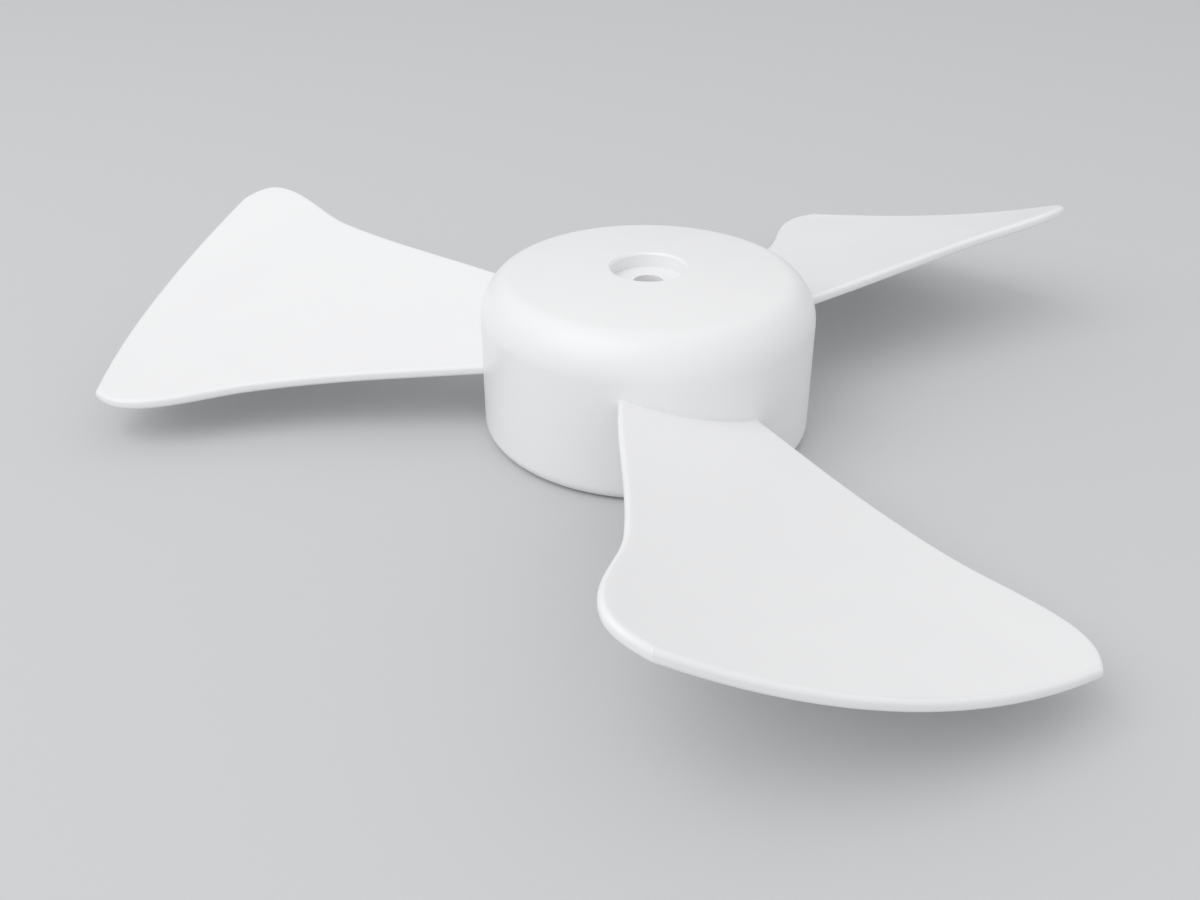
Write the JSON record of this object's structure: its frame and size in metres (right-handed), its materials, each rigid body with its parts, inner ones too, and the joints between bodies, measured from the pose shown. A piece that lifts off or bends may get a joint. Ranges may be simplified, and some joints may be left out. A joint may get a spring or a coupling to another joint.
{
  "type": "fan blade",
  "caption": "Moulded table fan blade: a domed hub with a shaft bore and a spinner recess, and wide pitched blades with rounded shoulders.",
  "frame": {"origin": "on the shaft axis, at the roof of the crossed slots that take the shaft's drive pin, where the round bore begins", "axes": "+Z along the shaft axis towards the front of the fan, where the dome is; the first blade points about -Y, slightly to +X"},
  "size_m": [0.2794, 0.287, 0.0461],
  "materials": {
    "plastic": "smooth moulded, satin"
  },
  "bodies": {
    "root": {"fan_blade": "plastic"}
  },
  "joints": []
}
